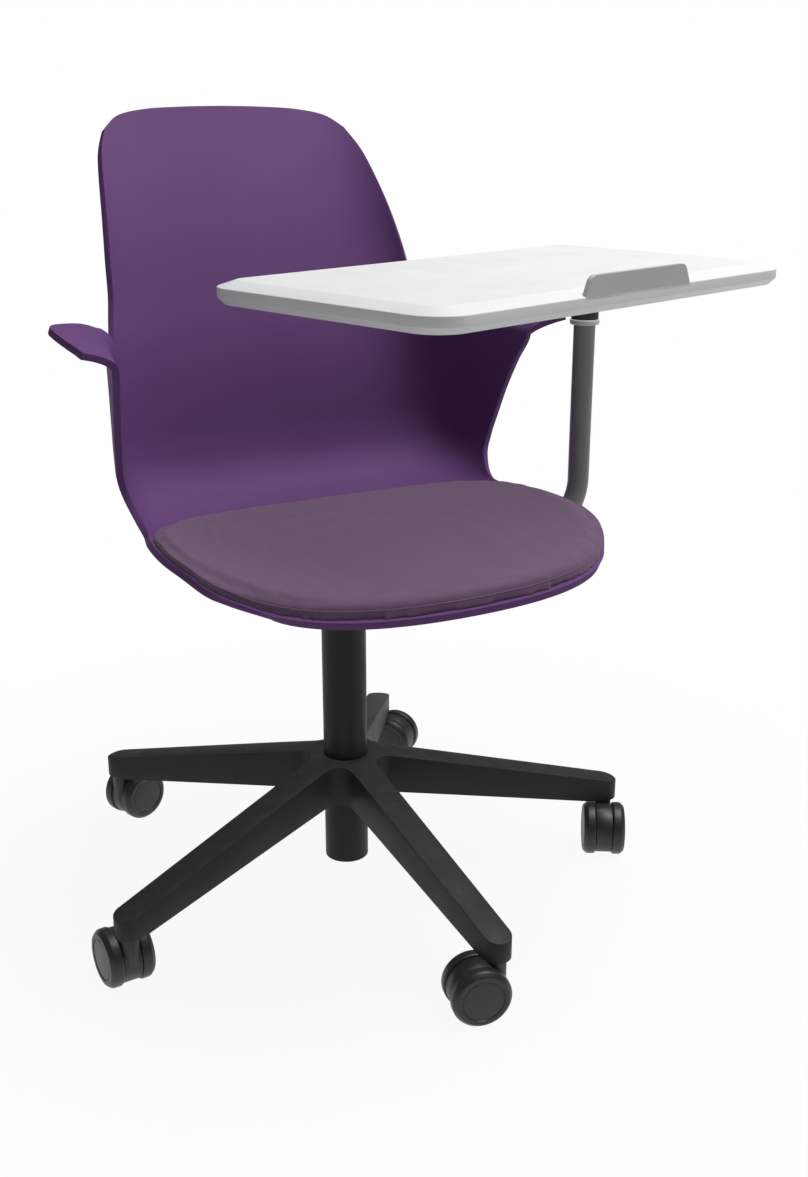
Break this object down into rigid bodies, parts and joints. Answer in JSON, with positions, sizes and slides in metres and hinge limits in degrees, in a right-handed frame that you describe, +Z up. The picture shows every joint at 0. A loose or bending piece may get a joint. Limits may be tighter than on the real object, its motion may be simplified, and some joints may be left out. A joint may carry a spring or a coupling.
{
  "type": "tablet arm swivel chair",
  "caption": "Swivel chair with a one-piece winged shell, upholstered pad, side writing tablet on an upright post, gas-lift column and star base on twin-wheel casters.",
  "frame": {"origin": "on the floor under the axis of the column", "axes": "+Z up, -Y towards the front of the seat, +X towards the sitter's left, where the writing tablet is"},
  "size_m": [0.8247, 0.6614, 0.862],
  "materials": {
    "shell_plastic": "satin moulded plastic, deep purple",
    "cushion_fabric": "fine woven upholstery, mauve",
    "tablet_laminate": "smooth light grey laminate",
    "lip_plastic": "satin, mid grey",
    "arm_paint": "satin grey powder coat",
    "collar_plastic": "satin, light grey",
    "base_plastic": "satin black glass-filled plastic",
    "column_paint": "satin black",
    "mechanism_paint": "matt black",
    "black_plastic": "satin black",
    "wheel_plastic": "satin black nylon",
    "bush_plastic": "natural plain bearing plastic",
    "polished_rod": "ground and polished",
    "steel": "zinc plated"
  },
  "bodies": {
    "base": {"base_spider": "base_plastic", "column_tube": "column_paint", "guide_bush": "bush_plastic", "thrust_bearing": "steel"},
    "gas_rod": {"piston_rod": "polished_rod", "gas_piston": "steel", "retaining_clip": "steel"},
    "seat": {"pressure_tube": "column_paint", "mechanism_housing": "mechanism_paint", "seat_shell": "shell_plastic", "seat_cushion": "cushion_fabric", "shell_bolts": "steel", "lever_pin": "steel", "arm_bracket": "mechanism_paint", "bracket_bolts": "steel", "arm_tube": "arm_paint", "post_collar": "collar_plastic", "pivot_bush": "bush_plastic"},
    "lever": {"height_lever": "mechanism_paint", "lever_grip": "black_plastic"},
    "release": {"release_pin": "steel"},
    "tablet": {"tablet_top": "tablet_laminate", "tablet_lip": "lip_plastic", "mount_plate": "steel", "pivot_neck": "black_plastic", "pivot_spindle": "steel", "tablet_screws": "steel"},
    "caster_1": {"caster_1_stem": "steel", "caster_1_body": "black_plastic", "caster_1_axle": "steel"},
    "caster_1_wheel_left_roller": {"caster_1_wheel_left": "wheel_plastic"},
    "caster_1_wheel_right_roller": {"caster_1_wheel_right": "wheel_plastic"},
    "caster_2": {"caster_2_stem": "steel", "caster_2_body": "black_plastic", "caster_2_axle": "steel"},
    "caster_2_wheel_left_roller": {"caster_2_wheel_left": "wheel_plastic"},
    "caster_2_wheel_right_roller": {"caster_2_wheel_right": "wheel_plastic"},
    "caster_3": {"caster_3_stem": "steel", "caster_3_body": "black_plastic", "caster_3_axle": "steel"},
    "caster_3_wheel_left_roller": {"caster_3_wheel_left": "wheel_plastic"},
    "caster_3_wheel_right_roller": {"caster_3_wheel_right": "wheel_plastic"},
    "caster_4": {"caster_4_stem": "steel", "caster_4_body": "black_plastic", "caster_4_axle": "steel"},
    "caster_4_wheel_left_roller": {"caster_4_wheel_left": "wheel_plastic"},
    "caster_4_wheel_right_roller": {"caster_4_wheel_right": "wheel_plastic"},
    "caster_5": {"caster_5_stem": "steel", "caster_5_body": "black_plastic", "caster_5_axle": "steel"},
    "caster_5_wheel_left_roller": {"caster_5_wheel_left": "wheel_plastic"},
    "caster_5_wheel_right_roller": {"caster_5_wheel_right": "wheel_plastic"}
  },
  "joints": [
    {"name": "seat_swivel", "type": "hinge", "parent": "base", "child": "gas_rod", "pos_m": [0, 0, 0.3], "axis": [0, 0, 1], "continuous": true},
    {"name": "height_slide", "type": "slide", "parent": "gas_rod", "child": "seat", "axis": [0, 0, 1], "range_m": [0, 0.12]},
    {"name": "lever_tilt", "type": "hinge", "parent": "seat", "child": "lever", "pos_m": [-0.038, 0, 0.3868], "axis": [0, 1, 0], "range_deg": [0, 4.5], "stiffness_Nm_per_rad": 2, "springref_deg": -2.86},
    {"name": "valve_push", "type": "slide", "parent": "seat", "child": "release", "axis": [0, 0, -1], "range_m": [0, 0.0032]},
    {"name": "tablet_swivel", "type": "hinge", "parent": "seat", "child": "tablet", "pos_m": [0.2631, -0.069, 0.658], "axis": [0, 0, 1], "range_deg": [-20, 24]},
    {"name": "caster_1_swivel", "type": "hinge", "parent": "base", "child": "caster_1", "pos_m": [0.1792, 0.2627, 0.0639], "axis": [0, 0, 1], "continuous": true},
    {"name": "caster_1_left_spin", "type": "hinge", "parent": "caster_1", "child": "caster_1_wheel_left_roller", "pos_m": [0.19249, 0.24709, 0.0312], "axis": [-0.7615, -0.6481, 0], "continuous": true},
    {"name": "caster_1_right_spin", "type": "hinge", "parent": "caster_1", "child": "caster_1_wheel_right_roller", "pos_m": [0.19249, 0.24709, 0.0312], "axis": [-0.7615, -0.6481, 0], "continuous": true},
    {"name": "caster_2_swivel", "type": "hinge", "parent": "base", "child": "caster_2", "pos_m": [-0.19447, 0.25161, 0.0639], "axis": [0, 0, 1], "continuous": true},
    {"name": "caster_2_left_spin", "type": "hinge", "parent": "caster_2", "child": "caster_2_wheel_left_roller", "pos_m": [-0.17551, 0.25942, 0.0312], "axis": [0.3811, -0.9245, 0], "continuous": true},
    {"name": "caster_2_right_spin", "type": "hinge", "parent": "caster_2", "child": "caster_2_wheel_right_roller", "pos_m": [-0.17551, 0.25942, 0.0312], "axis": [0.3811, -0.9245, 0], "continuous": true},
    {"name": "caster_3_swivel", "type": "hinge", "parent": "base", "child": "caster_3", "pos_m": [-0.29939, -0.1072, 0.0639], "axis": [0, 0, 1], "continuous": true},
    {"name": "caster_3_left_spin", "type": "hinge", "parent": "caster_3", "child": "caster_3_wheel_left_roller", "pos_m": [-0.30096, -0.08676, 0.0312], "axis": [0.9971, 0.0767, 0], "continuous": true},
    {"name": "caster_3_right_spin", "type": "hinge", "parent": "caster_3", "child": "caster_3_wheel_right_roller", "pos_m": [-0.30096, -0.08676, 0.0312], "axis": [0.9971, 0.0767, 0], "continuous": true},
    {"name": "caster_4_swivel", "type": "hinge", "parent": "base", "child": "caster_4", "pos_m": [0.00943, -0.31786, 0.0639], "axis": [0, 0, 1], "continuous": true},
    {"name": "caster_4_left_spin", "type": "hinge", "parent": "caster_4", "child": "caster_4_wheel_left_roller", "pos_m": [-0.01049, -0.31304, 0.0312], "axis": [0.2351, 0.972, 0], "continuous": true},
    {"name": "caster_4_right_spin", "type": "hinge", "parent": "caster_4", "child": "caster_4_wheel_right_roller", "pos_m": [-0.01049, -0.31304, 0.0312], "axis": [0.2351, 0.972, 0], "continuous": true},
    {"name": "caster_5_swivel", "type": "hinge", "parent": "base", "child": "caster_5", "pos_m": [0.30522, -0.08925, 0.0639], "axis": [0, 0, 1], "continuous": true},
    {"name": "caster_5_left_spin", "type": "hinge", "parent": "caster_5", "child": "caster_5_wheel_left_roller", "pos_m": [0.29448, -0.10671, 0.0312], "axis": [-0.8517, 0.524, 0], "continuous": true},
    {"name": "caster_5_right_spin", "type": "hinge", "parent": "caster_5", "child": "caster_5_wheel_right_roller", "pos_m": [0.29448, -0.10671, 0.0312], "axis": [-0.8517, 0.524, 0], "continuous": true}
  ],
  "couplings": [
    {"joint": "valve_push", "follows": "lever_tilt", "m_per_rad": 0.04}
  ]
}
